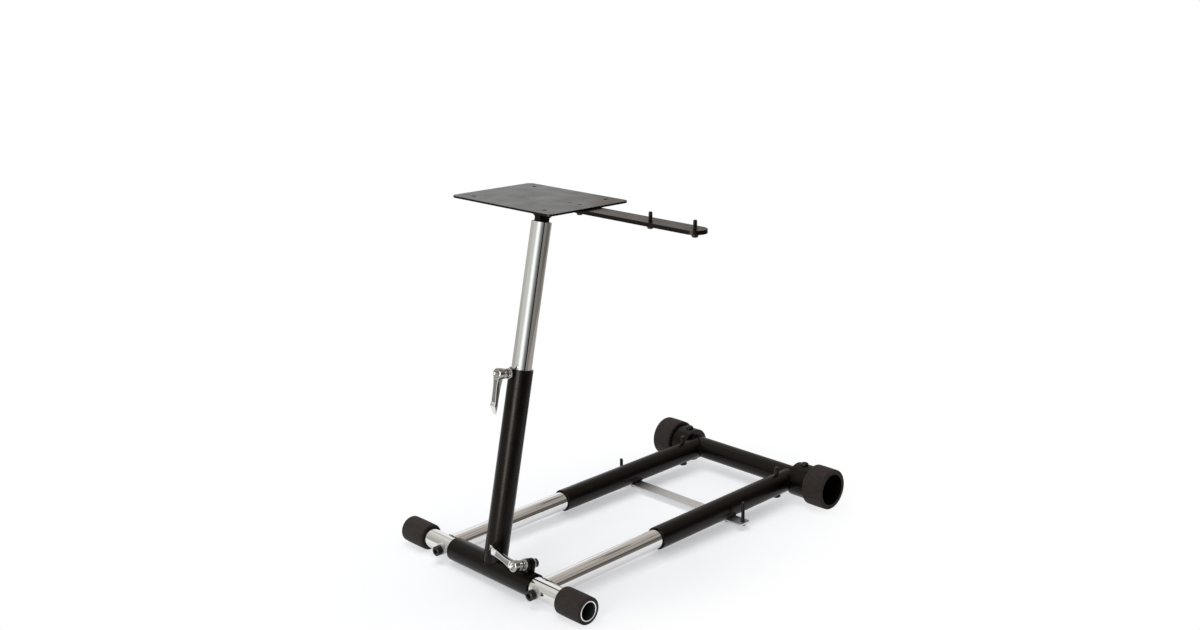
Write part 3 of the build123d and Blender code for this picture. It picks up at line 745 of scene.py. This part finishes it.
def tube_shade_cup(side, sign):
    """Dark cup inside the front tube's open end that paints the shade within it."""
    low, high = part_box("front_cross_tube")
    mouth = Vector((low.x if sign < 0 else high.x, FRONT.y, FRONT.z))
    inset, depth, back = 0.7 * MM, 80 * MM, 81 * MM
    outer, inner = CHROME_BORE - 0.04 * MM, CHROME_BORE - 0.3 * MM
    rows = [(back, CLOSE_R), (back, outer), (inset, outer), (inset, inner), (depth, inner), (depth, CLOSE_R)]
    cup = rings_mesh(f"tube_end_{side}", rows, CUP_SEGMENTS)
    cup.transform(frame_matrix(mouth, RIGHT * -sign, UP))
    add_piece(f"tube_end_{side}", cup, [], "black_screw", "base", material=TUBE_SHADE)


rear = middle("rear_cross_tube")
bar = middle("pedal_bar")
bead("weld_column", saddle_line(FRONT, UP_COLUMN, BLACK_R + WELD_GAP, WELD_POINTS), WELD_R, "column")
for side, sign in SIDES.items():
    rail_x = middle(f"rail_{side}").x
    sleeve_line = saddle_line(Vector((rail_x, rear.y, rear.z)), -BACK_RAIL, BLACK_R + WELD_GAP, WELD_POINTS)
    bead(f"weld_sleeve_{side}", sleeve_line, WELD_R, "rear_frame")
    low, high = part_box(f"rear_foot_{side}")
    foot_end = Vector((high.x if sign < 0 else low.x, rear.y, rear.z))
    foot_line = circle_line(foot_end, RIGHT, BLACK_R + WELD_GAP, WELD_POINTS)
    bead(f"weld_foot_{side}", foot_line, WELD_R, "rear_frame")
    for end, way in (("front", -1), ("rear", 1)):
        edge = Vector((rail_x, bar.y, bar.z)) + UP_RAIL * BAR_FACE + BACK_RAIL * way * BAR_EDGE
        bar_line = [edge + RIGHT * x * MM for x in range(-BAR_WELD_HALF, BAR_WELD_HALF + 1)]
        bead(f"weld_bar_{end}_{side}", bar_line, WELD_R, "rear_frame", closed=False)

    # Dark ring where the rail meets the front tube
    joint_ring_line = saddle_line(Vector((rail_x, FRONT.y, FRONT.z)), BACK_RAIL, CHROME_R + JOINT_RING_GAP, JOINT_RING_POINTS)
    bead(f"rail_seat_{side}", joint_ring_line, JOINT_RING_R, "base", ripple=(1,))
    tube_shade_cup(side, sign)


# Stage

def shader_mix(tree, factor, first, second):
    """Mix two shaders by a value."""
    made = node_of(tree, "ShaderNodeMixShader", Fac=factor)
    tree.links.new(first, made.inputs[1])
    tree.links.new(second, made.inputs[2])
    return made.outputs["Shader"]


def light_path_mix(tree, seen, lit):
    """Mix shader that camera, mirror and glass rays see one way and the light itself another."""
    path = tree.nodes.new("ShaderNodeLightPath")
    looking = path.outputs["Is Camera Ray"]
    for ray in ("Is Glossy Ray", "Is Transmission Ray"):
        either = tree.nodes.new("ShaderNodeMath")
        either.operation = "MAXIMUM"
        tree.links.new(looking, either.inputs[0])
        tree.links.new(path.outputs[ray], either.inputs[1])
        looking = either.outputs["Value"]
    return shader_mix(tree, looking, lit, seen)


def studio_world():
    """White world that looks brighter than it lights."""
    world = bpy.data.worlds.new("studio")
    world.use_nodes = True
    tree = world.node_tree
    tree.nodes.clear()
    seen = node_of(tree, "ShaderNodeBackground", Color=(1, 1, 1, 1), Strength=1.0).outputs["Background"]
    lit = node_of(tree, "ShaderNodeBackground", Color=(1, 1, 1, 1), Strength=0.36).outputs["Background"]
    node_of(tree, "ShaderNodeOutputWorld", Surface=light_path_mix(tree, seen, lit))
    return world


def pale_floor():
    """Floor that takes shade near the stand, glows white away from it and is clear from below."""
    material = bpy.data.materials.new("pale_floor")
    material.use_nodes = True
    tree = material.node_tree
    tree.nodes.clear()
    place = tree.nodes.new("ShaderNodeTexCoord").outputs["Object"]
    tint = mixed(tree, noise(tree, place, 3.0), (0.925, 0.935, 0.955), (0.945, 0.955, 0.97))
    cloth = node_of(tree, "ShaderNodeBsdfDiffuse", Color=tint).outputs["BSDF"]
    oval = node_of(tree, "ShaderNodeMapping", Vector=place, Location=(0.10, 0.05, 0), Scale=(1.65, 1, 1))
    distance = node_of(tree, "ShaderNodeVectorMath", Vector=oval.outputs["Vector"])
    distance.operation = "LENGTH"
    ramp = node_of(tree, "ShaderNodeMapRange", Value=distance.outputs["Value"], From_Min=0.27, From_Max=0.58,
                   To_Min=0.42, To_Max=1.0)
    ramp.interpolation_type = "SMOOTHSTEP"
    fade = ramp.outputs["Result"]
    shade = mixed(tree, fade, (0.94, 0.95, 0.985), (1, 1, 1))
    glow = node_of(tree, "ShaderNodeEmission", Color=shade, Strength=1.0).outputs["Emission"]
    above = light_path_mix(tree, shader_mix(tree, fade, cloth, glow), cloth)
    below = tree.nodes.new("ShaderNodeBsdfTransparent").outputs["BSDF"]
    from_below = tree.nodes.new("ShaderNodeNewGeometry").outputs["Backfacing"]
    node_of(tree, "ShaderNodeOutputMaterial", Surface=shader_mix(tree, from_below, above, below))
    return material


FLOOR_SIZE = 12
FLOOR_DROP = 0.3 * MM
scene.world = studio_world()
build = bmesh.new()
bmesh.ops.create_grid(build, x_segments=8, y_segments=8, size=FLOOR_SIZE)
mesh = to_mesh(build, "floor")
mesh.materials.append(pale_floor())
floor_sheet = bpy.data.objects.new("floor", mesh)
scene.collection.objects.link(floor_sheet)
floor_sheet.location.z = -FLOOR_DROP


# Cards that mirrors show
CARD_MIDDLE = Vector((FRONT.x, FRONT.y + 0.10, 0))
CARD_REACH = 1.3
CARD_TOP = 1.9
CARD_STEPS = 16
FLOOR_CARD_HEIGHT = 0.4 * MM
LEFT_TINT = Vector((1.0, 1.0, 0.93))
EDGE_TINT = Vector((0.94, 1.0, 0.95))
BACK_TINT = Vector((1.0, 0.92, 0.84))
FRONT_TINT = Vector((0.97, 1.0, 0.98))


def show_in_mirrors(name, rows, tint):
    """Glowing stage sheet that only glossy rays meet. A row holds (point, level) pairs."""
    build = bmesh.new()
    levels = []
    grid = []
    for row in rows:
        grid.append([build.verts.new(point) for point, level in row])
        levels += [level for point, level in row]
    for one, two in zip(grid, grid[1:]):
        for i in range(len(one) - 1):
            build.faces.new((one[i], two[i], two[i + 1], one[i + 1]))
    mesh = to_mesh(build, name)
    mesh.attributes.new("level", "FLOAT", "POINT").data.foreach_set("value", levels)
    paper = bpy.data.materials.new(name)
    paper.use_nodes = True
    tree = paper.node_tree
    tree.nodes.clear()
    level = tree.nodes.new("ShaderNodeAttribute")
    level.attribute_name = "level"
    glow = node_of(tree, "ShaderNodeEmission", Color=(*tint, 1), Strength=level.outputs["Fac"])
    node_of(tree, "ShaderNodeOutputMaterial", Surface=glow.outputs["Emission"])
    mesh.materials.append(paper)
    sheet = bpy.data.objects.new(name, mesh)
    scene.collection.objects.link(sheet)
    sheet.visible_camera = False
    sheet.visible_diffuse = False
    sheet.visible_transmission = False
    sheet.visible_shadow = False


def card_way(angle):
    """Direction to a card; angles go from the driver's side to the right."""
    return Vector((sin(radians(angle)), -cos(radians(angle)), 0))


def card_row(first, last, reach, height, level):
    """Row of a card that is bent round the stand from one angle to another."""
    angles = [first + (last - first) * i / CARD_STEPS for i in range(CARD_STEPS + 1)]
    return [(CARD_MIDDLE + card_way(angle) * reach + UP * height, level) for angle in angles]


# Upright cards: first and last angle, tint, and bands of low edge, high edge and level
CARDS = (
    ("far_left", -112, -98, LEFT_TINT,
     ((0, 0.4, 0.60), (0.4, 1.33, 0.62), (1.33, 1.5, 0.28), (1.5, 1.9, 0.82))),
    ("left", -98, -40, LEFT_TINT,
     ((0, 0.4, 0.48), (0.4, 0.7, 0.56), (0.7, 1.05, 0.66), (1.05, 1.9, 0.82))),
    ("near_left", -40, -16, LEFT_TINT, ((0, 0.4, 0.64), (0.4, 1.9, 0.68))),
    ("dark", 75, 87, EDGE_TINT, ((0, 1.9, 0.02),)),
    ("right", 87, 118, BACK_TINT, ((0, 1.9, 0.25),)),
    ("back", 118, 165, BACK_TINT,
     ((0, 0.16, 0.22), (0.16, 0.46, 0.15), (0.46, 0.64, 0.07), (0.64, 0.9, 0.36), (0.9, 1.24, 0.46),
      (1.24, 1.36, 0.18), (1.36, 1.9, 0.52))),
    ("far_back", 165, 200, BACK_TINT,
     ((0, 0.5, 0.36), (0.5, 1.54, 0.50), (1.54, 1.68, 0.20), (1.68, 1.9, 0.54))),
    ("back_left", 200, 222, BACK_TINT, ((0, 1.9, 0.64),)),
)
for name, first, last, tint, bands in CARDS:
    for low, high, level in bands:
        rows = [card_row(first, last, CARD_REACH, height, level) for height in (low, high)]
        show_in_mirrors(f"card_{name}_{low}", rows, tint)

# The front softbox as mirrors show it, and the wall that darkens beside it: angle and level
FRONT_LEVELS = (
    (-16, 0.66), (-1, 0.72), (6, 0.90), (11, 1.13), (16, 1.30), (30, 1.30), (36, 1.16), (41, 0.86),
    (46, 0.64), (51, 0.46), (57, 0.31), (65, 0.21), (75, 0.15),
)
rows = []
for height in (0, CARD_TOP):
    rows.append([(CARD_MIDDLE + card_way(angle) * CARD_REACH + UP * height, level)
                 for angle, level in FRONT_LEVELS])
show_in_mirrors("card_front", rows, FRONT_TINT)

# Floor away from the stand, as mirrors show it: first and last angle, near edge, tint and level
FLOOR_CARDS = (
    ("edge", 51, 62, 0.55, EDGE_TINT, 0.32),
    ("side", 62, 75, 0.55, EDGE_TINT, 0.19),
    ("dark", 75, 87, 0.55, EDGE_TINT, 0.02),
    ("right", 87, 118, 0.55, BACK_TINT, 0.22),
    ("back", 118, 200, 0.75, BACK_TINT, 0.42),
    ("behind", -148, -106, 0.5, LEFT_TINT, 0.36),
)
for name, first, last, near, tint, level in FLOOR_CARDS:
    rows = [card_row(first, last, reach, FLOOR_CARD_HEIGHT, level) for reach in (near, CARD_REACH)]
    show_in_mirrors(f"floor_card_{name}", rows, tint)

# Ceiling in two halves
for name, near, far, level in (("left", -CARD_REACH, 0, 0.60), ("right", 0, CARD_REACH, 0.38)):
    rows = []
    for y in (-CARD_REACH, CARD_REACH):
        rows.append([(CARD_MIDDLE + Vector((x, y, CARD_TOP)), level) for x in (near, far)])
    show_in_mirrors(f"card_ceiling_{name}", rows, BACK_TINT)


# Lamps
GLOSS_ANGLE = 22
GLOSS_REACH = 1.2
GLOSS_HEIGHT = 0.75


def softbox(name, place, aim, width, height, power):
    """Area lamp that shines at a point. Mirrors show the cards instead of it."""
    lamp = bpy.data.lights.new(name, "AREA")
    lamp.shape = "RECTANGLE"
    lamp.size = width
    lamp.size_y = height
    lamp.energy = power
    holder = bpy.data.objects.new(name, lamp)
    scene.collection.objects.link(holder)
    holder.location = place
    holder.rotation_euler = (Vector(aim) - Vector(place)).to_track_quat("-Z", "Y").to_euler()
    holder.visible_glossy = False
    return holder


softbox("key", place=(-0.7, -0.1, 2.6), aim=(0, 0, 0.2), width=1.8, height=1.8, power=44)
softbox("front_box", place=(FRONT.x + 0.585, FRONT.y - 1.91, 1.1), aim=(FRONT.x, FRONT.y, 0.35),
        width=0.9, height=1.6, power=24)

# The front softbox as paint and the levers' hubs show it, before the card that bare metal shows
gloss_aim = CARD_MIDDLE + UP * GLOSS_HEIGHT
gloss = softbox("gloss_box", place=gloss_aim + card_way(GLOSS_ANGLE) * GLOSS_REACH, aim=gloss_aim,
                width=0.36, height=1.4, power=16)
gloss.visible_glossy = True
gloss.visible_diffuse = False
painted = bpy.data.collections.new("painted")
for piece in bpy.data.objects:
    if piece.type == "MESH" and piece.data.materials and piece.data.materials[0] in (BLACK, OXIDE, HUB):
        painted.objects.link(piece)
gloss.light_linking.receiver_collection = painted

# Camera, placed from the floor under the front tube
CAMERA_PLACE = Vector((1.5740, -1.3144, 0.9764))
CAMERA_AIM = Vector((0.03313, 0.2000, 0.3994))
camera = bpy.data.cameras.new("camera")
camera.lens = 42.43
camera.sensor_width = 36
camera.clip_start = 0.05
holder = bpy.data.objects.new("camera", camera)
scene.collection.objects.link(holder)
foot = Vector((FRONT.x, FRONT.y, 0))
holder.location = foot + CAMERA_PLACE
aim = foot + CAMERA_AIM
holder.rotation_euler = (aim - holder.location).to_track_quat("-Z", "Y").to_euler()
scene.camera = holder
scene.view_settings.view_transform = "Standard"
